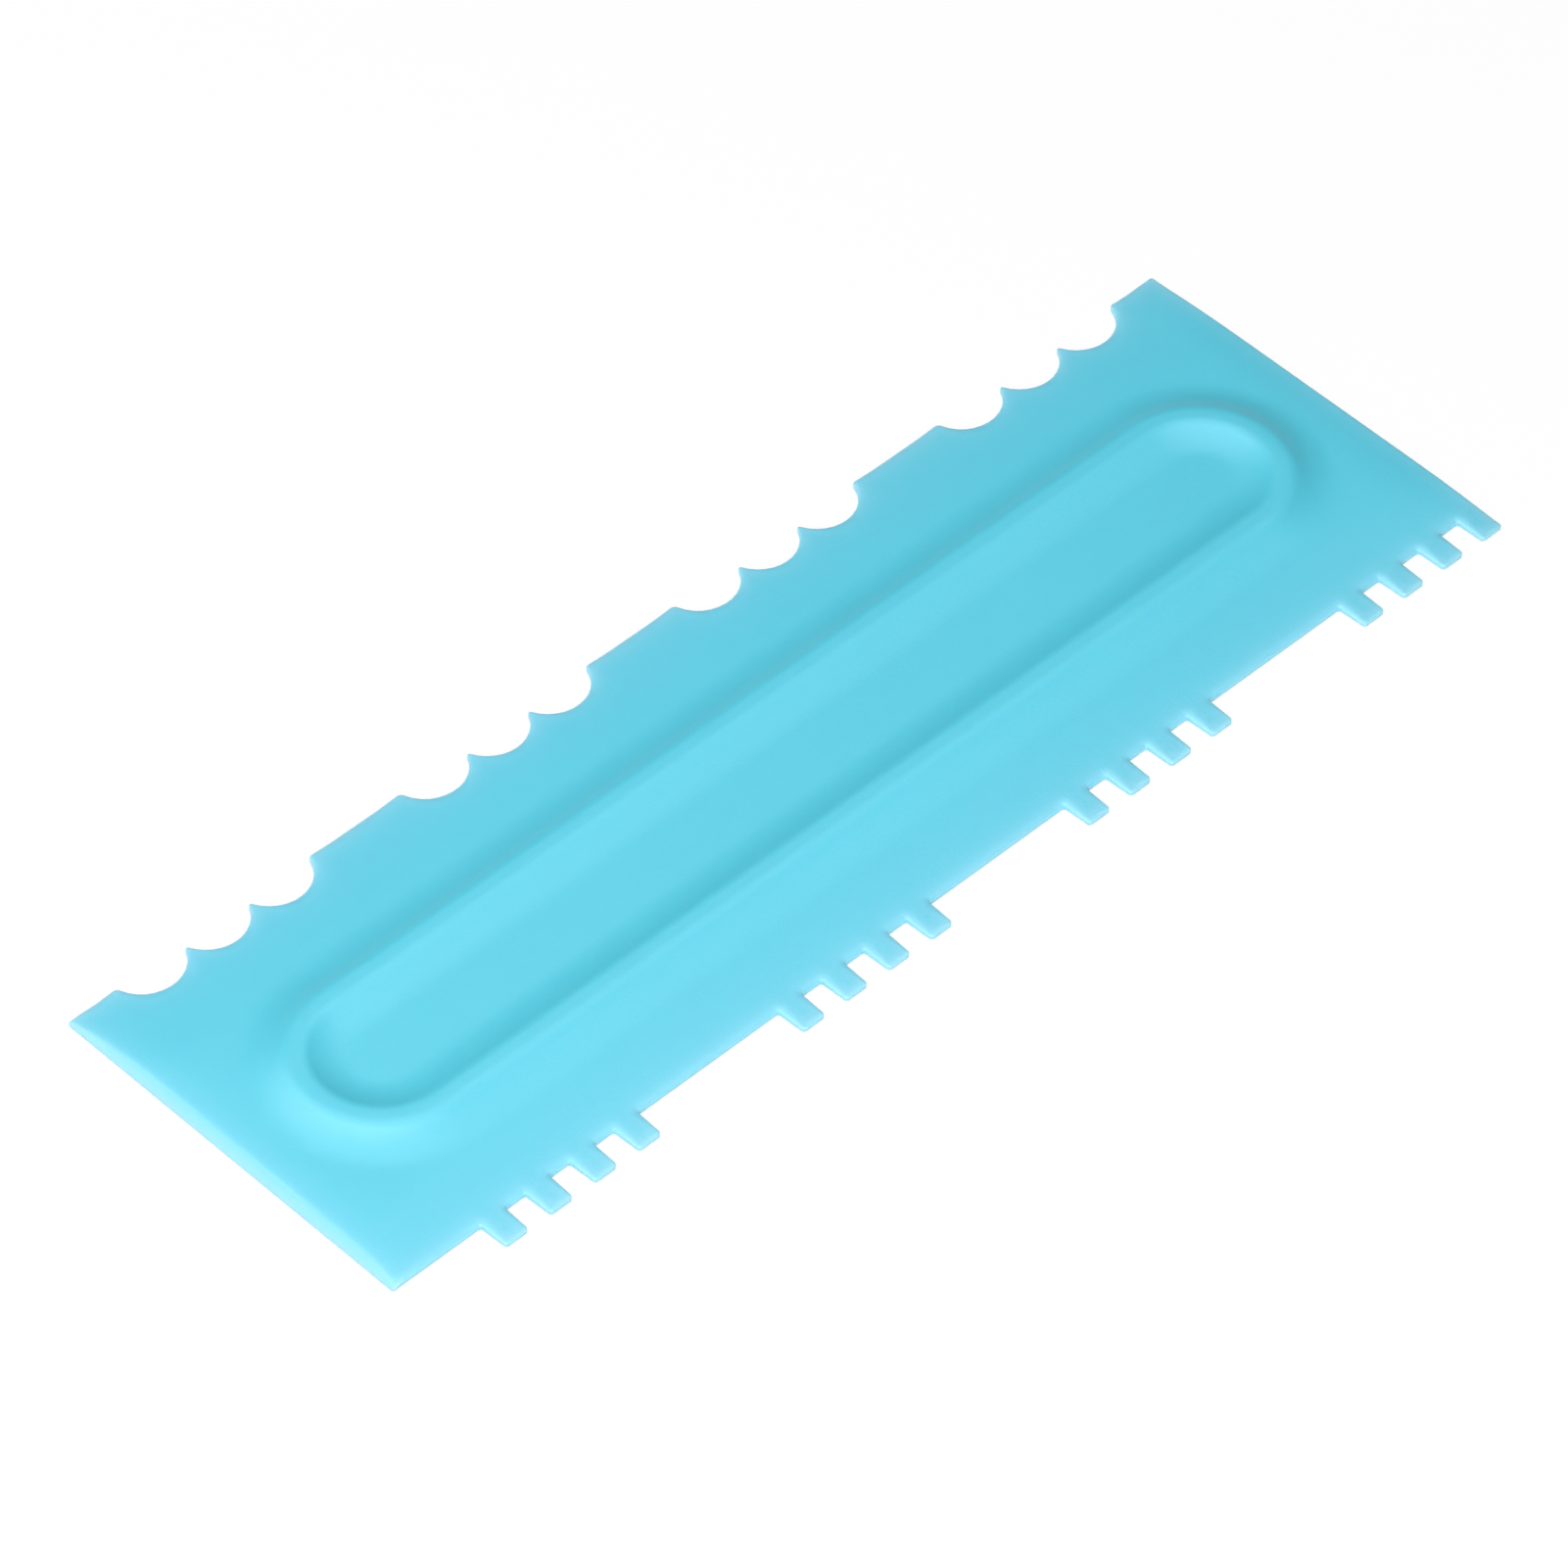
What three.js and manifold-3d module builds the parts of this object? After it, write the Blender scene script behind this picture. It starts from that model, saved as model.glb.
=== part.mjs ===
// Cake comb, moulded in one piece: a plate with groups of square teeth along its front edge, groups of
// scallops along its rear edge, a bevelled left end, and an obround ridge in the middle as the grip.
//
// Millimetres, +Z up. The plate lies on its flat underside at z = 0, centred on the origin, with its length
// along X, the teeth at -Y and the scallops at +Y.

import * as THREE from 'three';
import { mergeVertices } from 'three/addons/utils/BufferGeometryUtils.js';
import Module from 'manifold-3d';

// Plate
const LENGTH = 228.6;
const WIDTH = 76.2;             // from the tooth tips to the flats between the scallops
const EDGE_THICKNESS = 0.9;     // at the two long edges
const CROWN = 1.2;              // how much thicker the flat middle of the plate is than the long edges
const FLAT_WIDTH = 44;          // width of that flat middle, between the two tapered sides
const END_THICKNESS = 1.45;     // at the middle of the right end
const END_TAPER = 5.8;          // length over which the plate thins towards each end
const CORNER_RADIUS = 0.4;      // corners of the plate
const RIM_WIDTH = 1.8;          // rounding along the upper rim, a quarter of an ellipse
const RIM_DROP = 0.45;

// Bevel along the left end
const BEVEL_LIP = 0.4;          // height of the upright face that is left under the bevel
const BEVEL_ANGLE = 38;         // degrees up from the horizontal

// Teeth: the last tooth of the last group is flush with the right end
const TEETH_PER_GROUP = 4;
const TOOTH_WIDTH = 4.4;        // at the tip
const TOOTH_DRAFT = 0.22;       // how much each side of a tooth leans out, from its tip to its root
const TOOTH_PITCH = 8.85;
const TOOTH_HEIGHT = 5.25;
const TOOTH_GROUP_PITCH = 60.05;
const TOOTH_LAND = 8;           // least plain stretch between the left end and the first tooth
const TIP_RADIUS = 0.6;
const ROOT_RADIUS = 0.45;

// Scallops: their groups are centred on the length
const SCALLOPS_PER_GROUP = 3;
const SCALLOP_PITCH = 12.65;
const SCALLOP_DEPTH = 5.25;
const CUSP_DROP = 0.58;         // depth at which neighbouring scallop arcs cross
const SCALLOP_GROUP_PITCH = 57.05;
const SCALLOP_LAND = 4;         // least plain stretch between an end and the nearest scallop
const CUSP_RADIUS = 0.35;       // rounding of the points between scallops
const SHOULDER_RADIUS = 1;      // rounding where a group of scallops meets the flats

// Ridge
const RIDGE_LENGTH = 198;       // of its crest line, end to end
const RIDGE_WIDTH = 25.9;       // of its crest line, side to side
const RIDGE_HEIGHT = 2.2;       // above the flat middle of the plate
const CREST_WIDTH = 1.2;        // flat on top of the ridge
const CREST_RADIUS = 3.8;       // convex rounding beside that flat
const FLANK_WIDTH = 8.4;        // from the edge of the crest to where the concave flank meets the plate
const RIDGE_WALL = 2.3;         // plastic between the ridge and the groove under it

// Steps of the curves, and how far bodies reach past what they cut or join
const ARC_STEP = 1.2;           // length of the pieces of the outline's arcs
const LINE_STEP = 4;            // longest piece of the outline's straight stretches
const FEWEST_ARC_STEPS = 3;
const RIM_STEPS = 3;
const RIM_GROWTH = 0.2;         // how fast the rim's rounding widens along the edge, away from a tight corner
const RIM_OVERRUN = 0.3;        // how far the rim's last step is carried on, through the upper face
const BOW = 0.1;                // how much a loop is bowed while it is triangulated
const FLANK_STEPS = 5;
const RIDGE_END_STEPS = 20;
const OVERCUT = 1;
const FOOT_SINK = 0.02;         // sets the ridge's feathered foot just below the plate's face

const PLATE_THICKNESS = EDGE_THICKNESS + CROWN;
const TOTAL_HEIGHT = PLATE_THICKNESS + RIDGE_HEIGHT;
const SIDE_SLOPE = CROWN / (WIDTH / 2 - FLAT_WIDTH / 2);
const END_SLOPE = (PLATE_THICKNESS - END_THICKNESS) / END_TAPER;
const LEFT = -LENGTH / 2;
const RIGHT = LENGTH / 2;
const FRONT = -WIDTH / 2;
const BASE_LINE = FRONT + TOOTH_HEIGHT;
const REAR = WIDTH / 2;

const wasm = await Module();
wasm.setup();

// Turns a closed three.js geometry into a solid that can be joined and cut.
function solidFrom(geometry) {
  geometry.deleteAttribute('normal');
  geometry.deleteAttribute('uv');
  const merged = mergeVertices(geometry);
  return new wasm.Manifold(new wasm.Mesh({
    numProp: 3,
    vertProperties: new Float32Array(merged.attributes.position.array),
    triVerts: new Uint32Array(merged.index.array),
  }));
}

function geometryFrom(solid) {
  const mesh = solid.getMesh();
  const geometry = new THREE.BufferGeometry();
  geometry.setAttribute('position', new THREE.BufferAttribute(mesh.vertProperties, 3));
  geometry.setIndex(new THREE.BufferAttribute(mesh.triVerts, 1));
  geometry.computeVertexNormals();
  return geometry;
}

// Direction from one point to another, as an angle.
function angleTo(from, to) {
  return Math.atan2(to.y - from.y, to.x - from.x);
}

// Runs a path to a corner and round it, so that it then heads for the next point.
function roundCorner(path, corner, next, radius) {
  const heading = corner.clone().sub(path.currentPoint).normalize();
  const leaving = next.clone().sub(corner).normalize();
  const halfTurn = heading.angleTo(leaving) / 2;
  const reach = radius * Math.tan(halfTurn);
  const start = corner.clone().addScaledVector(heading, -reach);
  const end = corner.clone().addScaledVector(leaving, reach);
  const inwards = leaving.clone().sub(heading).normalize();
  const centre = corner.clone().addScaledVector(inwards, radius / Math.cos(halfTurn));
  const turnsRight = heading.cross(leaving) < 0;
  path.absarc(centre.x, centre.y, radius, angleTo(centre, start), angleTo(centre, end), turnsRight);
}

// Corners of the front edge, from the left end's front corner to the right end's rear corner. The outer side
// of the last tooth has no draft, because it is a part of the right end.
function frontCorners() {
  const tip = Math.min(TIP_RADIUS, TOOTH_WIDTH / 2);
  const root = Math.min(ROOT_RADIUS, (TOOTH_PITCH - TOOTH_WIDTH) / 2 - TOOTH_DRAFT);
  const groupLength = (TEETH_PER_GROUP - 1) * TOOTH_PITCH + TOOTH_WIDTH;
  const groups = 1 + Math.floor((LENGTH - TOOTH_LAND - groupLength) / TOOTH_GROUP_PITCH);
  const corners = [{ x: LEFT, y: BASE_LINE, radius: CORNER_RADIUS }];
  for (let group = groups - 1; group >= 0; group--) {
    for (let tooth = TEETH_PER_GROUP - 1; tooth >= 0; tooth--) {
      const right = RIGHT - group * TOOTH_GROUP_PITCH - tooth * TOOTH_PITCH;
      const left = right - TOOTH_WIDTH;
      corners.push({ x: left - TOOTH_DRAFT, y: BASE_LINE, radius: root });
      corners.push({ x: left, y: FRONT, radius: tip });
      corners.push({ x: right, y: FRONT, radius: tip });
      corners.push({ x: right + TOOTH_DRAFT, y: BASE_LINE, radius: root });
    }
  }
  corners.pop();
  corners.push({ x: RIGHT, y: REAR, radius: CORNER_RADIUS });
  return corners;
}

// Adds one group of scallops to a path that runs leftwards along the rear edge. Each scallop is a hollow arc
// between two small rounded knuckles: the group's shoulders at its ends, and the cusps in between.
function addScallopGroup(path, groupX) {
  const sag = SCALLOP_DEPTH - CUSP_DROP;
  const radius = ((SCALLOP_PITCH / 2) ** 2 + sag ** 2) / (2 * sag);
  const centreY = REAR - SCALLOP_DEPTH + radius;
  const firstX = groupX + (SCALLOPS_PER_GROUP - 1) * SCALLOP_PITCH / 2;

  const shoulderY = REAR - SHOULDER_RADIUS;
  const shoulderReach = Math.sqrt((radius + SHOULDER_RADIUS) ** 2 - (centreY - shoulderY) ** 2);
  const cuspY = centreY - Math.sqrt((radius + CUSP_RADIUS) ** 2 - (SCALLOP_PITCH / 2) ** 2);

  let knuckle = { x: firstX + shoulderReach, y: shoulderY, radius: SHOULDER_RADIUS };
  let enterAngle = Math.PI / 2;
  for (let i = 0; i < SCALLOPS_PER_GROUP; i++) {
    const scallop = { x: firstX - i * SCALLOP_PITCH, y: centreY };
    const isLast = i === SCALLOPS_PER_GROUP - 1;
    const next = isLast
      ? { x: scallop.x - shoulderReach, y: shoulderY, radius: SHOULDER_RADIUS }
      : { x: scallop.x - SCALLOP_PITCH / 2, y: cuspY, radius: CUSP_RADIUS };
    path.absarc(knuckle.x, knuckle.y, knuckle.radius, enterAngle, angleTo(knuckle, scallop), false);
    path.absarc(scallop.x, scallop.y, radius, angleTo(scallop, knuckle), angleTo(scallop, next), true);
    enterAngle = angleTo(next, scallop);
    knuckle = next;
  }
  path.absarc(knuckle.x, knuckle.y, knuckle.radius, enterAngle, Math.PI / 2, false);
}

// Places of the scallop groups' middles, from right to left.
function scallopGroupMiddles() {
  const groupLength = SCALLOPS_PER_GROUP * SCALLOP_PITCH + 2 * SHOULDER_RADIUS;
  const groups = 1 + Math.floor((LENGTH - 2 * SCALLOP_LAND - groupLength) / SCALLOP_GROUP_PITCH);
  return Array.from({ length: groups }, (_, i) => ((groups - 1) / 2 - i) * SCALLOP_GROUP_PITCH);
}

// Plan outline of the whole comb as a loop of points, counter-clockwise.
function outlinePoints() {
  const path = new THREE.Path();
  const corners = frontCorners();
  const rearLeft = new THREE.Vector2(LEFT, REAR);
  path.moveTo(LEFT, 0);
  corners.forEach((corner, i) => {
    const next = corners[i + 1] ?? rearLeft;
    roundCorner(path, new THREE.Vector2(corner.x, corner.y), new THREE.Vector2(next.x, next.y), corner.radius);
  });
  scallopGroupMiddles().forEach((middle) => addScallopGroup(path, middle));
  roundCorner(path, rearLeft, new THREE.Vector2(LEFT, 0), CORNER_RADIUS);
  path.closePath();
  const points = path.curves.flatMap((curve) => {
    const isArc = curve instanceof THREE.EllipseCurve;
    const steps = Math.ceil(curve.getLength() / (isArc ? ARC_STEP : LINE_STEP));
    return curve.getPoints(Math.max(steps, isArc ? FEWEST_ARC_STEPS : 1)).slice(1);
  });
  return points.filter((p, i) => p.distanceTo(points.at(i - 1)) > 1e-3);
}

// Outward normals of a counter-clockwise loop, at its points.
function outwardNormals(loop) {
  return loop.map((point, i) => {
    const before = point.clone().sub(loop.at(i - 1)).normalize();
    const after = loop[(i + 1) % loop.length].clone().sub(point).normalize();
    const along = before.add(after).normalize();
    return new THREE.Vector2(along.y, -along.x);
  });
}

// Angle by which a loop turns at one of its points, positive to the left.
function turnAt(loop, i) {
  const before = loop[i].clone().sub(loop.at(i - 1));
  const after = loop[(i + 1) % loop.length].clone().sub(loop[i]);
  return Math.atan2(before.cross(after), before.dot(after));
}

// Width of the upper rim's rounding at each point of a loop. It shrinks towards corners tighter than itself.
function rimWidths(loop) {
  const gaps = loop.map((point, i) => point.distanceTo(loop[(i + 1) % loop.length]));
  const widths = loop.map((_, i) => {
    const turn = turnAt(loop, i);
    return turn > 1e-3 ? Math.min(RIM_WIDTH, 0.4 * (gaps.at(i - 1) + gaps[i]) / turn) : RIM_WIDTH;
  });
  const count = loop.length;
  for (let i = 0; i < 2 * count; i++) {
    const here = i % count;
    const next = (i + 1) % count;
    widths[next] = Math.min(widths[next], widths[here] + RIM_GROWTH * gaps[here]);
  }
  for (let i = 2 * count; i > 0; i--) {
    const here = (i - 1) % count;
    const next = i % count;
    widths[here] = Math.min(widths[here], widths[next] + RIM_GROWTH * gaps[here]);
  }
  return widths;
}

// Height of the plate's upper face over a point, without the bevel and the ridge.
function faceHeight(x, y) {
  const sideDrop = SIDE_SLOPE * (Math.abs(y) - FLAT_WIDTH / 2);
  const endDrop = END_SLOPE * (Math.abs(x) - (LENGTH / 2 - END_TAPER));
  return PLATE_THICKNESS - Math.max(0, sideDrop, endDrop);
}

// Extrudes a shape, centred along the extrusion, with its axes laid along the given directions.
function extrudeAlong(shape, depth, xAxis, yAxis, zAxis) {
  const geometry = new THREE.ExtrudeGeometry(shape, { depth, bevelEnabled: false });
  geometry.translate(0, 0, -depth / 2);
  geometry.applyMatrix4(new THREE.Matrix4().makeBasis(xAxis, yAxis, zAxis));
  return solidFrom(geometry);
}

const X = new THREE.Vector3(1, 0, 0);
const Y = new THREE.Vector3(0, 1, 0);
const Z = new THREE.Vector3(0, 0, 1);

// Closed body inside the outline, taller than the plate on both sides: upright walls below, the rim's rounding
// at the height of the upper face, and upright walls above. The rounding's last step runs on through the face.
function planBody() {
  const loop = outlinePoints();
  const normals = outwardNormals(loop);
  const widths = rimWidths(loop);
  const drop = Math.min(RIM_DROP, 0.85 * EDGE_THICKNESS);
  const positions = [];
  const addLayer = (heightOver, insetShare) => {
    loop.forEach((point, i) => {
      const place = point.clone().addScaledVector(normals[i], -insetShare * widths[i]);
      positions.push(place.x, place.y, heightOver(place));
    });
  };

  addLayer(() => -OVERCUT, 0);
  for (let step = 0; step < RIM_STEPS; step++) {
    const a = (Math.PI / 2) * (step / RIM_STEPS);
    addLayer((p) => faceHeight(p.x, p.y) - drop * (1 - Math.sin(a)), 1 - Math.cos(a));
  }
  const last = (Math.PI / 2) * (1 - 1 / RIM_STEPS);
  const insetShare = 1 + RIM_OVERRUN * Math.cos(last);
  const rise = RIM_OVERRUN * drop * (1 - Math.sin(last));
  addLayer((p) => faceHeight(p.x, p.y) + rise, insetShare);
  addLayer(() => TOTAL_HEIGHT + OVERCUT, insetShare);
  return solidFrom(loftGeometry(positions, loop.length));
}

// Triangles over the area inside a counter-clockwise loop. Points along straight stretches are passed over at
// first, and then divide the triangles on whose sides they lie. The other points are bowed slightly inwards
// while they are triangulated, so that no three of them are in line.
function loopTriangles(loop) {
  const count = loop.length;
  const corners = Array.from(loop.keys()).filter((i) => Math.abs(turnAt(loop, i)) > 1e-5);
  const contour = corners.map((i) => loop[i].clone().multiplyScalar(1 + BOW * loop[i].lengthSq() / LENGTH ** 2));
  const triangles = THREE.ShapeUtils.triangulateShape(contour, []).map((t) => t.map((k) => corners[k]));
  corners.forEach((from, k) => {
    const to = corners[(k + 1) % corners.length];
    const pieces = (to - from + count) % count;
    const found = triangles.findIndex((t) => t.includes(from) && t.includes(to));
    const third = triangles[found].find((i) => i !== from && i !== to);
    const fan = Array.from({ length: pieces }, (_, s) => [(from + s) % count, (from + s + 1) % count, third]);
    triangles.splice(found, 1, ...fan);
  });
  return triangles;
}

// Closed geometry through layers of points, one loop above the other, with its two ends filled.
function loftGeometry(positions, count) {
  const layers = positions.length / 3 / count;
  const index = [];
  for (let layer = 0; layer + 1 < layers; layer++) {
    for (let i = 0; i < count; i++) {
      const next = (i + 1) % count;
      const [a, b] = [layer * count + i, layer * count + next];
      index.push(a, b, b + count, a, b + count, a + count);
    }
  }
  for (const layer of [0, layers - 1]) {
    const first = layer * count;
    const loop = Array.from({ length: count }, (_, i) => {
      return new THREE.Vector2(positions[3 * (first + i)], positions[3 * (first + i) + 1]);
    });
    for (const triangle of loopTriangles(loop)) {
      const [a, b, c] = triangle.map((i) => first + i);
      index.push(a, ...(layer === 0 ? [c, b] : [b, c]));
    }
  }
  const geometry = new THREE.BufferGeometry();
  geometry.setAttribute('position', new THREE.Float32BufferAttribute(positions, 3));
  geometry.setIndex(index);
  return geometry;
}

// Cross-section of the plate: flat underneath, flat in the middle on top, tapered to both long edges.
function sectionBody() {
  const half = WIDTH / 2 + OVERCUT;
  const flat = FLAT_WIDTH / 2;
  const rim = EDGE_THICKNESS - SIDE_SLOPE * OVERCUT;
  const shape = new THREE.Shape([
    new THREE.Vector2(-half, 0),
    new THREE.Vector2(half, 0),
    new THREE.Vector2(half, rim),
    new THREE.Vector2(flat, PLATE_THICKNESS),
    new THREE.Vector2(-flat, PLATE_THICKNESS),
    new THREE.Vector2(-half, rim),
  ]);
  return extrudeAlong(shape, LENGTH + 2 * OVERCUT, Y, Z, X);
}

// Side view of the plate: everything below the two tapered ends and the bevel. The tapers are drawn on past
// the plate's face.
function sideBody() {
  const bevelSlope = Math.tan(THREE.MathUtils.degToRad(BEVEL_ANGLE));
  const bevelWidth = (END_THICKNESS - BEVEL_LIP) / (bevelSlope - END_SLOPE);
  const drawnOn = 2 * END_TAPER;
  const shape = new THREE.Shape([
    new THREE.Vector2(LEFT - OVERCUT, -OVERCUT),
    new THREE.Vector2(RIGHT + OVERCUT, -OVERCUT),
    new THREE.Vector2(RIGHT + OVERCUT, END_THICKNESS - END_SLOPE * OVERCUT),
    new THREE.Vector2(RIGHT - drawnOn, END_THICKNESS + END_SLOPE * drawnOn),
    new THREE.Vector2(LEFT + drawnOn, END_THICKNESS + END_SLOPE * drawnOn),
    new THREE.Vector2(LEFT + bevelWidth, BEVEL_LIP + bevelSlope * bevelWidth),
    new THREE.Vector2(LEFT - OVERCUT, BEVEL_LIP - bevelSlope * OVERCUT),
  ]);
  return extrudeAlong(shape, WIDTH + 2 * OVERCUT, X, Z, Y.clone().negate());
}

// One flank of the ridge, from the middle of the crest outwards, as points of distance and height: half the
// flat crest, a convex arc, and a concave arc that runs out level.
function flankPoints() {
  const angle = 2 * Math.atan(RIDGE_HEIGHT / FLANK_WIDTH);
  const radiiSum = FLANK_WIDTH / Math.sin(angle);
  const convex = Math.min(CREST_RADIUS, radiiSum / 2);
  const concave = radiiSum - convex;
  const crestEdge = CREST_WIDTH / 2;
  const foot = crestEdge + FLANK_WIDTH;
  const points = [];
  for (let i = 0; i <= FLANK_STEPS; i++) {
    const a = angle * i / FLANK_STEPS;
    points.push([crestEdge + convex * Math.sin(a), RIDGE_HEIGHT - convex * (1 - Math.cos(a))]);
  }
  for (let i = 1; i <= FLANK_STEPS; i++) {
    const a = angle * (1 - i / FLANK_STEPS);
    points.push([foot - concave * Math.sin(a), concave * (1 - Math.cos(a))]);
  }
  return points;
}

// Sweeps the ridge's profile once around its obround crest line. The body stands on a base at the given
// height, and reaches below that base by the given depth.
function ridgeBody(baseZ, depth) {
  const outer = flankPoints().reverse();
  const inner = flankPoints().map(([distance, height]) => [-distance, height]);
  const foot = outer[0][0];
  const profile = [[-foot, -depth], [foot, -depth], ...outer, ...inner];

  const radius = RIDGE_WIDTH / 2;
  const reach = RIDGE_LENGTH / 2 - radius;
  const positions = [];
  for (const end of [1, -1]) {
    for (let i = 0; i <= RIDGE_END_STEPS; i++) {
      const angle = Math.PI * (i / RIDGE_END_STEPS - end / 2);
      for (const [distance, height] of profile) {
        const x = end * reach + (radius + distance) * Math.cos(angle);
        positions.push(x, (radius + distance) * Math.sin(angle), baseZ + height);
      }
    }
  }

  const count = profile.length;
  const stations = positions.length / 3 / count;
  const index = [];
  for (let s = 0; s < stations; s++) {
    const after = (s + 1) % stations;
    for (let k = 0; k < count; k++) {
      const next = (k + 1) % count;
      const corners = [s * count + k, after * count + k, after * count + next, s * count + next];
      index.push(corners[0], corners[1], corners[2], corners[0], corners[2], corners[3]);
    }
  }
  const geometry = new THREE.BufferGeometry();
  geometry.setAttribute('position', new THREE.Float32BufferAttribute(positions, 3));
  geometry.setIndex(index);
  return solidFrom(geometry);
}

function combMesh() {
  const plate = planBody().intersect(sectionBody()).intersect(sideBody());
  const ridge = ridgeBody(PLATE_THICKNESS - FOOT_SINK, EDGE_THICKNESS / 2);
  const groove = ridgeBody(PLATE_THICKNESS - RIDGE_WALL, OVERCUT);
  const plastic = new THREE.MeshStandardMaterial({ color: 0x69d2e7, roughness: 0.42, metalness: 0 });
  const mesh = new THREE.Mesh(geometryFrom(plate.add(ridge).subtract(groove)), plastic);
  mesh.name = 'comb';
  return mesh;
}

const cakeComb = new THREE.Group();
cakeComb.add(combMesh());

export default cakeComb;
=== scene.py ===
"""Cake comb: the visible model and its studio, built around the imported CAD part.

Shapes are worked out in millimetres, in the CAD's own frame, and turned into metres as each mesh is made.
"""

import math

import bpy
import numpy as np
from mathutils import Matrix, Vector
from mathutils.geometry import delaunay_2d_cdt


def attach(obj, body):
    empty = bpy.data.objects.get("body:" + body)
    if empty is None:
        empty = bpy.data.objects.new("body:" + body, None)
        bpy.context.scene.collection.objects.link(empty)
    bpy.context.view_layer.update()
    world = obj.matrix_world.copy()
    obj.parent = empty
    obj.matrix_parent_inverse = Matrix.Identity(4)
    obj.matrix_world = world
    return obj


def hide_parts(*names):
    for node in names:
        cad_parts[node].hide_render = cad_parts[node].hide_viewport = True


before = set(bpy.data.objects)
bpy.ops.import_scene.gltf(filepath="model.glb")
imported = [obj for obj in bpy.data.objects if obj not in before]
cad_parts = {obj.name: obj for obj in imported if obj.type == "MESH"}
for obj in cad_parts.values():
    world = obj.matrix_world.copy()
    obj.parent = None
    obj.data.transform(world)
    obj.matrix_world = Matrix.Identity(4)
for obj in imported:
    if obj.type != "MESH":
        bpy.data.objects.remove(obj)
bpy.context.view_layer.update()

MM = 0.001

# Plate
LENGTH = 228.6
WIDTH = 76.2
EDGE_THICKNESS = 0.9
CROWN = 1.2
FLAT_WIDTH = 44.0
CROWN_BLEND = 5.0           # length over which the flat middle turns into the tapered sides
END_THICKNESS = 1.45
END_TAPER = 5.8
END_BLEND = 3.0             # length over which the flat middle turns into the tapered ends
CORNER_RADIUS = 0.4
RIM_WIDTH, RIM_DROP = 1.8, 0.45     # rounding of the upper rim, a quarter of an ellipse
END_RIM_WIDTH = 0.8         # width of that rounding along the right end
RIM_GROWTH = 0.25           # how fast that rounding widens along the edge, away from a tight corner
RIM_CORNER_SHARE = 0.8      # most that it takes of a corner's radius
FOOT_RADIUS = 0.1           # rounding of the lower rim
LEAST_WALL = 0.05           # upright wall left between the two roundings

# Bevel along the left end
BEVEL_LIP = 0.4
BEVEL_ANGLE = math.radians(38.0)
BEVEL_BLEND = 0.35          # softening of the bevel's upper border
BEVEL_ROWS = [0.35, 0.6, 0.85, 1.1, 1.35, 1.6, 1.85, 2.15, 2.55, 3.1, 3.9]

# Teeth
TOOTH_GROUPS = 4
TEETH_PER_GROUP = 4
TOOTH_WIDTH = 4.4
TOOTH_DRAFT = 0.22
TOOTH_PITCH = 8.85
TOOTH_HEIGHT = 5.25
TOOTH_GROUP_PITCH = 60.05
TIP_RADIUS = 0.6
ROOT_RADIUS = 0.45

# Scallops
SCALLOP_GROUPS = 4
SCALLOPS_PER_GROUP = 3
SCALLOP_PITCH = 12.65
SCALLOP_DEPTH = 5.25
CUSP_DROP = 0.58
SCALLOP_GROUP_PITCH = 57.05
CUSP_RADIUS = 0.35
SHOULDER_RADIUS = 1.0

# Ridge
RIDGE_LENGTH = 198.0
RIDGE_WIDTH = 25.9
RIDGE_HEIGHT = 2.2
CREST_WIDTH = 1.2
CREST_RADIUS = 3.8
FLANK_WIDTH = 8.4
INNER_FLANK_WIDTH = 7.4     # the same, on the side that faces the middle
INNER_RISE = 0.5            # how far the floor inside the ridge lies above the plate around it
RIDGE_WALL = 2.3
GROOVE_BLEND = 0.08         # softening where the groove below the ridge meets the underside

# Mesh steps
ARC_STEP = math.radians(11.0)
EDGE_STEP = 1.1
GRID_STEP = 1.2
RIM_STEPS = 8
FOOT_STEPS = 3
CREST_STEPS = 8
FLANK_STEPS = 12
RIDGE_END_STEPS = 48
GRID_CLEARANCE = 0.7        # least distance of a grid point from the loops around it
BEVEL_CLEARANCE = 0.25      # the same, over the bevel
SAME_POINT = 1e-6           # points of an outline closer than this are one
MERGE_DISTANCE = 1e-7       # the triangulation merges points closer than this
STRAIGHT = 1e-3             # a turn under this angle counts as none
TOLERANCE = 1e-3            # a length under this counts as nothing

LEFT, RIGHT = -LENGTH / 2, LENGTH / 2
FRONT, REAR = -WIDTH / 2, WIDTH / 2
BASE_LINE = FRONT + TOOTH_HEIGHT
PLATE_THICKNESS = EDGE_THICKNESS + CROWN
SIDE_SLOPE = CROWN / (WIDTH / 2 - FLAT_WIDTH / 2)
END_SLOPE = (PLATE_THICKNESS - END_THICKNESS) / END_TAPER


def arc(centre, radius, start, end, clockwise=False):
    """Points of an arc from one angle to another, both ends included."""
    sweep = (start - end if clockwise else end - start) % (2 * math.pi)
    steps = max(4, round(sweep / ARC_STEP))
    turn = -sweep if clockwise else sweep
    angles = start + turn * np.linspace(0, 1, steps + 1)
    return np.column_stack([centre[0] + radius * np.cos(angles), centre[1] + radius * np.sin(angles)])


def angle_to(a, b):
    return math.atan2(b[1] - a[1], b[0] - a[0])


def unit(vector):
    return vector / np.linalg.norm(vector)


def rounded_corner(before, corner, after, radius):
    """Points of the arc that rounds a corner."""
    heading, leaving = unit(corner - before), unit(after - corner)
    half_turn = math.acos(heading @ leaving) / 2
    reach = radius * math.tan(half_turn)
    start, end = corner - heading * reach, corner + leaving * reach
    centre = corner + unit(leaving - heading) * radius / math.cos(half_turn)
    turns_right = heading[0] * leaving[1] - heading[1] * leaving[0] < 0
    return arc(centre, radius, angle_to(centre, start), angle_to(centre, end), turns_right)


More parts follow.
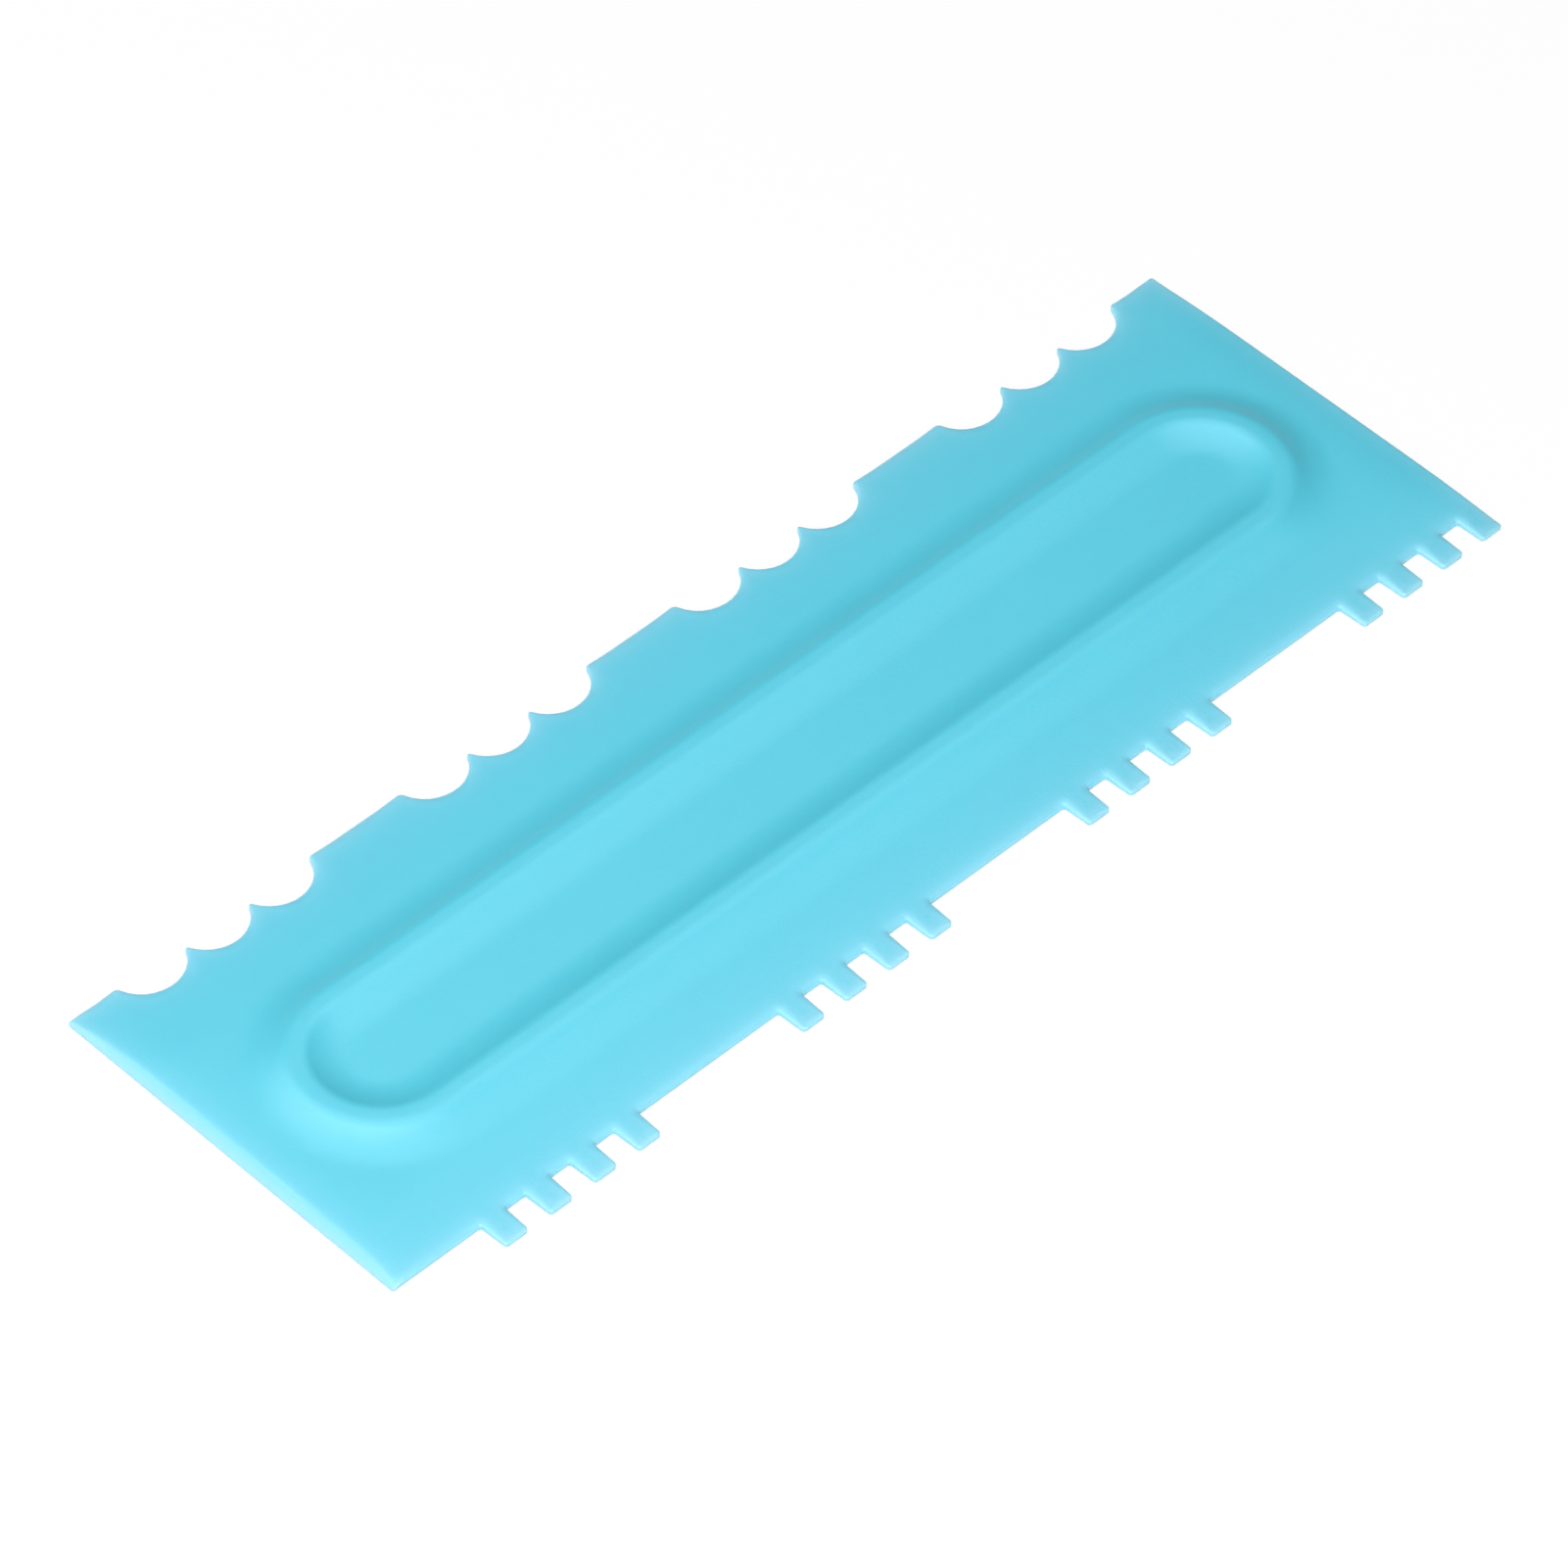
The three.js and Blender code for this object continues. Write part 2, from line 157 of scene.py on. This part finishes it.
def front_corners():
    """Corners and roundings of the outline from the left end, along the teeth, to the right end."""
    corners = [(LEFT, BASE_LINE, CORNER_RADIUS)]
    for group in reversed(range(TOOTH_GROUPS)):
        for tooth in reversed(range(TEETH_PER_GROUP)):
            right = RIGHT - group * TOOTH_GROUP_PITCH - tooth * TOOTH_PITCH
            left = right - TOOTH_WIDTH
            corners += [(left - TOOTH_DRAFT, BASE_LINE, ROOT_RADIUS), (left, FRONT, TIP_RADIUS)]
            corners += [(right, FRONT, TIP_RADIUS), (right + TOOTH_DRAFT, BASE_LINE, ROOT_RADIUS)]
    return corners[:-1] + [(RIGHT, REAR, CORNER_RADIUS)]


def scallop_group(middle):
    """Points of one group of scallops, from right to left."""
    sag = SCALLOP_DEPTH - CUSP_DROP
    radius = ((SCALLOP_PITCH / 2) ** 2 + sag ** 2) / (2 * sag)
    centre_y = REAR - SCALLOP_DEPTH + radius
    first_x = middle + (SCALLOPS_PER_GROUP - 1) * SCALLOP_PITCH / 2
    shoulder_y = REAR - SHOULDER_RADIUS
    reach = math.sqrt((radius + SHOULDER_RADIUS) ** 2 - (centre_y - shoulder_y) ** 2)
    cusp_y = centre_y - math.sqrt((radius + CUSP_RADIUS) ** 2 - (SCALLOP_PITCH / 2) ** 2)

    knuckle, knuckle_radius = (first_x + reach, shoulder_y), SHOULDER_RADIUS
    enter = math.pi / 2
    pieces = []
    for i in range(SCALLOPS_PER_GROUP):
        scallop = (first_x - i * SCALLOP_PITCH, centre_y)
        following, following_radius = (scallop[0] - SCALLOP_PITCH / 2, cusp_y), CUSP_RADIUS
        if i == SCALLOPS_PER_GROUP - 1:
            following, following_radius = (scallop[0] - reach, shoulder_y), SHOULDER_RADIUS
        pieces.append(arc(knuckle, knuckle_radius, enter, angle_to(knuckle, scallop)))
        pieces.append(arc(scallop, radius, angle_to(scallop, knuckle), angle_to(scallop, following), True))
        enter = angle_to(following, scallop)
        knuckle, knuckle_radius = following, following_radius
    pieces.append(arc(knuckle, knuckle_radius, enter, math.pi / 2))
    return np.vstack(pieces)


def outline():
    """The plan outline, counter-clockwise, with its long straight stretches divided."""
    corners = front_corners()
    places = [np.array(c[:2]) for c in corners]
    middle_left, rear_left = np.array([LEFT, 0.0]), np.array([LEFT, REAR])
    pieces = []
    for i, (x, y, radius) in enumerate(corners):
        before = places[i - 1] if i else middle_left
        after = places[i + 1] if i + 1 < len(places) else rear_left
        pieces.append(rounded_corner(before, places[i], after, radius))
    for group in range(SCALLOP_GROUPS):
        pieces.append(scallop_group(((SCALLOP_GROUPS - 1) / 2 - group) * SCALLOP_GROUP_PITCH))
    pieces.append(rounded_corner(places[-1], rear_left, middle_left, CORNER_RADIUS))
    return divided_loop(np.vstack(pieces))


def divided_loop(loop):
    """Drops doubled points of a closed loop, and divides its long stretches evenly."""
    loop = loop[np.linalg.norm(loop - np.roll(loop, 1, axis=0), axis=1) > SAME_POINT]
    points = []
    for a, b in zip(loop, np.roll(loop, -1, axis=0)):
        steps = max(1, round(float(np.linalg.norm(b - a)) / EDGE_STEP))
        points += [a + (b - a) * k / steps for k in range(steps)]
    return np.array(points)


def outward_normals(loop):
    """Unit normals of a counter-clockwise loop, at its points."""
    along = np.roll(loop, -1, axis=0) - loop
    along /= np.linalg.norm(along, axis=1)[:, None]
    mean = along + np.roll(along, 1, axis=0)
    mean /= np.linalg.norm(mean, axis=1)[:, None]
    return np.column_stack([mean[:, 1], -mean[:, 0]])


def rim_sizes(loop):
    """Width and drop of the upper rim's rounding at each point: both small at tight corners."""
    ahead = np.roll(loop, -1, axis=0) - loop
    behind = loop - np.roll(loop, 1, axis=0)
    gaps, gaps_behind = np.linalg.norm(ahead, axis=1), np.linalg.norm(behind, axis=1)
    turn = ahead[:, 1] * behind[:, 0] - ahead[:, 0] * behind[:, 1]
    angle = np.arcsin(np.clip(turn / (gaps * gaps_behind), -1, 1))
    bend_radius = np.where(angle > STRAIGHT, (gaps + gaps_behind) / 2 / np.maximum(angle, STRAIGHT), np.inf)
    at_right_end = loop[:, 0] > RIGHT - TOLERANCE
    full_widths = np.where(at_right_end, END_RIM_WIDTH, RIM_WIDTH)
    widths = np.minimum(full_widths, RIM_CORNER_SHARE * bend_radius)
    count = len(loop)
    for i in list(range(count)) * 2:
        widths[i] = min(widths[i], widths[i - 1] + RIM_GROWTH * gaps[i - 1])
    for i in list(reversed(range(count))) * 2:
        widths[i] = min(widths[i], widths[(i + 1) % count] + RIM_GROWTH * gaps[i])
    drops = np.minimum(RIM_DROP * widths / RIM_WIDTH, plate_height(loop) - FOOT_RADIUS - LEAST_WALL)
    return widths, drops


def soft_min(a, b, blend):
    """The lesser of two heights, with the corner between them smoothed."""
    return (a + b - np.sqrt((a - b) ** 2 + blend ** 2)) / 2


def soft_ramp(distance, blend):
    """Nothing up to distance zero and the distance from there on, with the corner between them smoothed."""
    return (distance + np.sqrt(distance ** 2 + blend ** 2)) / 2


def plate_height(points):
    """Height of the plate's upper face, without the ridge."""
    x, y = points[:, 0], points[:, 1]
    side_drop = SIDE_SLOPE * soft_ramp(np.abs(y) - FLAT_WIDTH / 2, CROWN_BLEND)
    end_drop = END_SLOPE * soft_ramp(np.abs(x) - (LENGTH / 2 - END_TAPER), END_BLEND)
    bevel = BEVEL_LIP + (x - LEFT) * math.tan(BEVEL_ANGLE)
    return soft_min(PLATE_THICKNESS - np.hypot(side_drop, end_drop), bevel, BEVEL_BLEND)


def flank_profile(drop, width):
    """The ridge's profile on one side, as distances from its crest line and heights above the plate."""
    angle = 2 * math.atan(drop / width)
    concave = width / math.sin(angle) - CREST_RADIUS
    crest_edge = CREST_WIDTH / 2
    rounding = angle * np.linspace(0, 1, CREST_STEPS + 1)
    hollow = angle * np.linspace(1, 0, FLANK_STEPS + 1)[1:]
    distance = np.concatenate([
        crest_edge + CREST_RADIUS * np.sin(rounding),
        crest_edge + width - concave * np.sin(hollow),
    ])
    height = np.concatenate([
        RIDGE_HEIGHT - CREST_RADIUS * (1 - np.cos(rounding)),
        RIDGE_HEIGHT - drop + concave * (1 - np.cos(hollow)),
    ])
    return distance, height


def ridge_profile(inner_drop, inner_width):
    """The ridge's whole profile, from its outer foot to its inner one, outwards being positive."""
    distance, height = flank_profile(RIDGE_HEIGHT, FLANK_WIDTH)
    inner_distance, inner_height = flank_profile(inner_drop, inner_width)
    return np.concatenate([distance[::-1], -inner_distance]), np.concatenate([height[::-1], inner_height])


def obround(offset):
    """A loop around the ridge's crest line at a distance outwards from it, counter-clockwise."""
    radius = RIDGE_WIDTH / 2
    reach = RIDGE_LENGTH / 2 - radius
    straight_steps = round(2 * reach / EDGE_STEP)
    turn = np.linspace(-math.pi / 2, math.pi / 2, RIDGE_END_STEPS + 1)
    right = np.column_stack([reach + (radius + offset) * np.cos(turn), (radius + offset) * np.sin(turn)])
    side_x = np.linspace(reach, -reach, straight_steps + 1)[1:-1]
    top = np.column_stack([side_x, np.full(side_x.shape, radius + offset)])
    half = np.vstack([right, top])
    return np.vstack([half, -half])


def inside(points, loop):
    """Which points lie inside a closed loop, by counting crossings."""
    a, b = loop, np.roll(loop, -1, axis=0)
    result = np.zeros(len(points), bool)
    for (ax, ay), (bx, by) in zip(a, b):
        if ay == by:
            continue
        crosses = (ay > points[:, 1]) != (by > points[:, 1])
        at = ax + (points[:, 1] - ay) * (bx - ax) / (by - ay)
        result ^= crosses & (points[:, 0] < at)
    return result


class MeshParts:
    """Vertices and faces of a mesh while it is being put together."""

    def __init__(self):
        self.vertices = []
        self.faces = []

    def add(self, points, heights):
        """Adds points at the given heights, and returns their indices."""
        first = len(self.vertices)
        heights = np.broadcast_to(heights, len(points))
        self.vertices += [(x, y, z) for (x, y), z in zip(points, heights)]
        return np.arange(first, len(self.vertices))

    def strip(self, lower, upper):
        """Quads between two closed loops of vertices that match point by point."""
        for i in range(len(lower)):
            j = (i + 1) % len(lower)
            self.faces.append((lower[i], lower[j], upper[j], upper[i]))

    def fill(self, outer, hole, extra, faces_up):
        """Triangles over the area inside one loop and outside another, through some extra points."""
        loops = [loop for loop in (outer, hole) if loop is not None]
        used = np.concatenate(loops + [extra]).astype(int)
        flat = np.array([self.vertices[i][:2] for i in used])
        edges = []
        first = 0
        for loop in loops:
            count = len(loop)
            edges += [(first + i, first + (i + 1) % count) for i in range(count)]
            first += count
        result = delaunay_2d_cdt([Vector(p) for p in flat], edges, [], 0, MERGE_DISTANCE)
        source = [used[originals[0]] for originals in result[3]]
        triangles = np.array([[source[i] for i in face] for face in result[2]])
        places = np.array(self.vertices)[:, :2]
        centres = places[triangles].mean(axis=1)
        keep = inside(centres, places[outer])
        if hole is not None:
            keep &= ~inside(centres, places[hole])
        self.faces += [tuple(t if faces_up else t[::-1]) for t in triangles[keep]]


def grid_points(outer, hole):
    """Points of a staggered grid inside one loop and outside another, clear of both."""
    rows = np.arange(FRONT, REAR, GRID_STEP * math.sqrt(3) / 2)
    columns = np.arange(LEFT, RIGHT, GRID_STEP)
    points = np.array([(x + GRID_STEP / 2 * (r % 2), y) for r, y in enumerate(rows) for x in columns])
    rows_x = LEFT + np.array(BEVEL_ROWS)
    rows_y = np.arange(FRONT, REAR, GRID_STEP / 2)
    if hole is not None:
        points = points[points[:, 0] > rows_x[-1] + GRID_STEP / 2]
        points = np.vstack([points, [(x, y) for x in rows_x for y in rows_y]])
    keep = inside(points, outer)
    if hole is not None:
        keep &= ~inside(points, hole)
    points = points[keep]
    walls = outer if hole is None else np.vstack([outer, hole])
    nearest = np.array([np.min(np.hypot(*(walls - p).T)) for p in points])
    over_bevel = points[:, 0] < rows_x[-1] + TOLERANCE
    return points[nearest > np.where(over_bevel, BEVEL_CLEARANCE, GRID_CLEARANCE)]


def comb_mesh():
    """The whole comb as one closed mesh."""
    parts = MeshParts()
    edge = outline()
    normals = outward_normals(edge)
    widths, drops = rim_sizes(edge)

    loops = []
    for step in range(FOOT_STEPS + 1):
        a = math.pi / 2 * step / FOOT_STEPS
        inset = FOOT_RADIUS * (1 - math.sin(a))
        loops.append(parts.add(edge - normals * inset, FOOT_RADIUS * (1 - math.cos(a))))
    for step in range(RIM_STEPS + 1):
        a = math.pi / 2 * step / RIM_STEPS
        points = edge - normals * (widths * (1 - math.cos(a)))[:, None]
        loops.append(parts.add(points, plate_height(points) - drops * (1 - math.sin(a))))
    for lower, upper in zip(loops, loops[1:]):
        parts.strip(lower, upper)
    bottom_loop, top_loop = loops[0], loops[-1]

    floor_z = PLATE_THICKNESS - RIDGE_WALL
    ridge, groove = [], []
    for offset, rise in zip(*ridge_profile(RIDGE_HEIGHT - INNER_RISE, INNER_FLANK_WIDTH)):
        ring = obround(offset)
        ridge.append(parts.add(ring, plate_height(ring) + rise))
    for offset, rise in zip(*ridge_profile(RIDGE_HEIGHT, FLANK_WIDTH)):
        ring = obround(offset)
        groove.append(parts.add(ring, -soft_min(0.0, -(floor_z + rise), GROOVE_BLEND)))
    for outer, inner in zip(ridge, ridge[1:]):
        parts.strip(outer, inner)
    for outer, inner in zip(groove, groove[1:]):
        parts.strip(inner, outer)

    places = np.array(parts.vertices)[:, :2]
    around = grid_points(places[top_loop], places[ridge[0]])
    middle = grid_points(places[ridge[-1]], None)
    under = grid_points(places[bottom_loop], places[groove[0]])
    parts.fill(top_loop, ridge[0], parts.add(around, plate_height(around)), True)
    parts.fill(ridge[-1], None, parts.add(middle, plate_height(middle) + INNER_RISE), True)
    parts.fill(bottom_loop, groove[0], parts.add(under, 0.0), False)
    parts.fill(groove[-1], None, np.array([], int), False)

    mesh = bpy.data.meshes.new("comb_body")
    mesh.from_pydata([tuple(MM * c for c in v) for v in parts.vertices], [], parts.faces)
    mesh.shade_smooth()
    # Painted glow near thin edges, standing in for light through the plastic, kept as a vertex attribute for
    # the material
    painted_glow = mesh.attributes.new("painted_glow", "FLOAT", "POINT")
    painted_glow.data.foreach_set("value", painted_edge_glow(np.array(parts.vertices)[:, :2], edge))
    return mesh


# Plastic, with linear colours and lengths in millimetres
DEEP_COLOR = (0.106, 0.625, 0.775, 1.0)
# Painted glow: a paler colour mixed in near thin edges and where the plate is thin, standing in for light
# that passes through the plastic
PAINTED_GLOW_COLOR = (0.31, 0.70, 0.88, 1.0)
GLOW_REACH = 1.2            # how far the painted glow of the edges, standing in for light through the thin plastic, reaches into the plate
THICK_EDGE, THIN_EDGE = 1.9, 0.8    # edges that get none and all of that painted glow
THIN_PLATE_GLOW = 0.22            # share of the painted glow where the plate is thinnest
ROUGHNESS = (0.32, 0.43)
CLOUD_SIZE = 35.0           # faint clouds in the colour, from the flow of the plastic
CLOUD_SHADE = (0.992, 1.008)
CLOUD_DETAIL = 4.0
GRAIN_SIZE = 0.45           # moulded grain
GRAIN_DEPTH = 0.022
GRAIN_DETAIL = 3.0
NOISE_RANGE = (0.3, 0.7)    # where most of a noise's values lie
SCATTER_SHARE = 0.6
SCATTER_LENGTH = 1.2
SCATTER_RADII = (0.8, 1.0, 1.1)
REFRACTION = 1.49
SPECULAR_LEVEL = 1.0


def painted_edge_glow(places, edge):
    """How much painted glow each place gets, standing in for light through the plastic, near a thin edge and
    where the plate is thin.
    """
    edge_thinness = np.clip((THICK_EDGE - plate_height(edge)) / (THICK_EDGE - THIN_EDGE), 0, 1)
    nearest = np.array([np.argmin(np.hypot(*(edge - p).T)) for p in places])
    distance = np.linalg.norm(places - edge[nearest], axis=1)
    plate_thinness = np.clip((PLATE_THICKNESS - plate_height(places)) / CROWN, 0, 1)
    return np.clip(edge_thinness[nearest] * np.exp(-distance / GLOW_REACH) + THIN_PLATE_GLOW * plate_thinness, 0, 1)


def noise(nodes, links, size, detail):
    """A noise over the object's own coordinates, with features of about the given size."""
    place = nodes.new("ShaderNodeTexCoord")
    texture = nodes.new("ShaderNodeTexNoise")
    texture.inputs["Scale"].default_value = 1 / (size * MM)
    texture.inputs["Detail"].default_value = detail
    links.new(place.outputs["Object"], texture.inputs["Vector"])
    return texture.outputs["Fac"]


def mapped(nodes, links, value, low, high):
    """A noise value spread from one limit to another."""
    spread = nodes.new("ShaderNodeMapRange")
    spread.inputs["From Min"].default_value = NOISE_RANGE[0]
    spread.inputs["From Max"].default_value = NOISE_RANGE[1]
    spread.inputs["To Min"].default_value = low
    spread.inputs["To Max"].default_value = high
    links.new(value, spread.inputs["Value"])
    return spread.outputs["Result"]


def plastic():
    """Satin turquoise plastic: painted glow at its thin edges, standing in for light through the plastic,
    faintly clouded, with a fine moulded grain.
    """
    material = bpy.data.materials.new("turquoise_plastic")
    material.use_nodes = True
    nodes, links = material.node_tree.nodes, material.node_tree.links
    shader = nodes["Principled BSDF"]
    shader.inputs["IOR"].default_value = REFRACTION
    shader.inputs["Specular IOR Level"].default_value = SPECULAR_LEVEL
    shader.inputs["Subsurface Weight"].default_value = SCATTER_SHARE
    shader.inputs["Subsurface Radius"].default_value = SCATTER_RADII
    shader.inputs["Subsurface Scale"].default_value = SCATTER_LENGTH * MM

    # Painted glow: the paler colour near thin edges stands in for light passing through the plastic
    painted_glow = nodes.new("ShaderNodeAttribute")
    painted_glow.attribute_name = "painted_glow"
    tint = nodes.new("ShaderNodeMix")
    tint.data_type = "RGBA"
    tint.inputs["A"].default_value = DEEP_COLOR
    tint.inputs["B"].default_value = PAINTED_GLOW_COLOR
    links.new(painted_glow.outputs["Fac"], tint.inputs["Factor"])
    clouds = nodes.new("ShaderNodeVectorMath")
    clouds.operation = "SCALE"
    links.new(tint.outputs["Result"], clouds.inputs[0])
    cloud = noise(nodes, links, CLOUD_SIZE, CLOUD_DETAIL)
    links.new(mapped(nodes, links, cloud, *CLOUD_SHADE), clouds.inputs["Scale"])
    links.new(clouds.outputs[0], shader.inputs["Base Color"])

    grain = noise(nodes, links, GRAIN_SIZE, GRAIN_DETAIL)
    links.new(mapped(nodes, links, grain, *ROUGHNESS), shader.inputs["Roughness"])
    bump = nodes.new("ShaderNodeBump")
    bump.inputs["Distance"].default_value = GRAIN_DEPTH * MM
    links.new(grain, bump.inputs["Height"])
    links.new(bump.outputs["Normal"], shader.inputs["Normal"])
    return material


WHITE = (1.0, 1.0, 1.0, 1.0)

# Floor, in metres
FLOOR_HALF = 4.0
FLOOR_GAP = 0.00002         # gap below the comb
FLOOR_COLOR = (0.95, 0.95, 0.95, 1.0)
FLOOR_GLOW = 0.9            # share of the floor's own white in what the camera sees of it
FLOOR_WHITE = 1.0


def studio_floor():
    """A wide pale floor that the camera sees as white, apart from the comb's shadow."""
    mesh = bpy.data.meshes.new("floor")
    corners = [(x * FLOOR_HALF, y * FLOOR_HALF, 0) for x, y in ((-1, -1), (1, -1), (1, 1), (-1, 1))]
    mesh.from_pydata(corners, [], [(0, 1, 2, 3)])
    floor = bpy.data.objects.new("floor", mesh)
    floor.location.z = -FLOOR_GAP
    bpy.context.scene.collection.objects.link(floor)

    material = bpy.data.materials.new("pale_floor")
    material.use_nodes = True
    nodes, links = material.node_tree.nodes, material.node_tree.links
    nodes.clear()
    output = nodes.new("ShaderNodeOutputMaterial")
    matte = nodes.new("ShaderNodeBsdfDiffuse")
    matte.inputs["Color"].default_value = FLOOR_COLOR
    glow = nodes.new("ShaderNodeEmission")
    glow.inputs["Color"].default_value = WHITE
    glow.inputs["Strength"].default_value = FLOOR_WHITE
    mix = nodes.new("ShaderNodeMixShader")
    path = nodes.new("ShaderNodeLightPath")
    share = nodes.new("ShaderNodeMath")
    share.operation = "MULTIPLY"
    share.inputs[1].default_value = FLOOR_GLOW
    seen = path.outputs["Is Camera Ray"]
    for other in ("Is Glossy Ray", "Is Transmission Ray"):
        either = nodes.new("ShaderNodeMath")
        either.operation = "MAXIMUM"
        links.new(seen, either.inputs[0])
        links.new(path.outputs[other], either.inputs[1])
        seen = either.outputs[0]
    links.new(seen, share.inputs[0])
    links.new(share.outputs[0], mix.inputs[0])
    links.new(matte.outputs[0], mix.inputs[1])
    links.new(glow.outputs[0], mix.inputs[2])
    links.new(mix.outputs[0], output.inputs["Surface"])
    mesh.materials.append(material)


# Studio lamps: name, direction around and up in degrees, side in metres, and power in watts
LAMPS = [
    ("key_left", 215, 48, 0.9, 4.95),
    ("back_left", 135, 37, 0.9, 3.5),
    ("front", 250, 25, 0.9, 4.1),
    ("overhead", 90, 88, 1.2, 5.4),
]
LAMP_DISTANCE = 0.95
WORLD_STRENGTH = 0.04


def studio_light():
    """Soft lamps aimed at the comb, and a faint surrounding light."""
    for name, around, up, side, power in LAMPS:
        lamp = bpy.data.lights.new(name, "AREA")
        lamp.shape = "SQUARE"
        lamp.size = side
        lamp.energy = power
        holder = bpy.data.objects.new(name, lamp)
        around, up = math.radians(around), math.radians(up)
        level = math.cos(up)
        direction = Vector((math.cos(around) * level, math.sin(around) * level, math.sin(up)))
        holder.location = direction * LAMP_DISTANCE
        holder.rotation_euler = (-direction).to_track_quat("-Z", "Y").to_euler()
        bpy.context.scene.collection.objects.link(holder)
    world = bpy.data.worlds.new("studio")
    world.use_nodes = True
    background = world.node_tree.nodes["Background"]
    background.inputs["Color"].default_value = WHITE
    background.inputs["Strength"].default_value = WORLD_STRENGTH
    bpy.context.scene.world = world


# Camera: its place in millimetres, the directions it calls right and down, and its lens
EYE = Vector((-706.64, -712.45, 1078.19))
VIEW_RIGHT = Vector((0.718078, -0.695915, 0.008157))
VIEW_DOWN = Vector((-0.506119, -0.530211, -0.680235))
LENS = 223.357
SENSOR = 36.0
FARTHEST = 20.0             # how far the camera sees, in metres


def camera():
    """The photograph's camera."""
    data = bpy.data.cameras.new("camera")
    data.sensor_fit = "HORIZONTAL"
    data.sensor_width = SENSOR
    data.lens = LENS
    data.clip_end = FARTHEST
    holder = bpy.data.objects.new("camera", data)
    right, up = VIEW_RIGHT.normalized(), -VIEW_DOWN.normalized()
    turn = Matrix((right, up, right.cross(up))).transposed()
    holder.matrix_world = Matrix.Translation(EYE * MM) @ turn.to_4x4()
    bpy.context.scene.collection.objects.link(holder)
    bpy.context.scene.camera = holder


comb = bpy.data.objects.new("comb_body", comb_mesh())
bpy.context.scene.collection.objects.link(comb)
comb.data.materials.append(plastic())
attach(comb, "root")
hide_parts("comb")

studio_floor()
studio_light()
camera()
bpy.context.scene.view_settings.view_transform = "Standard"
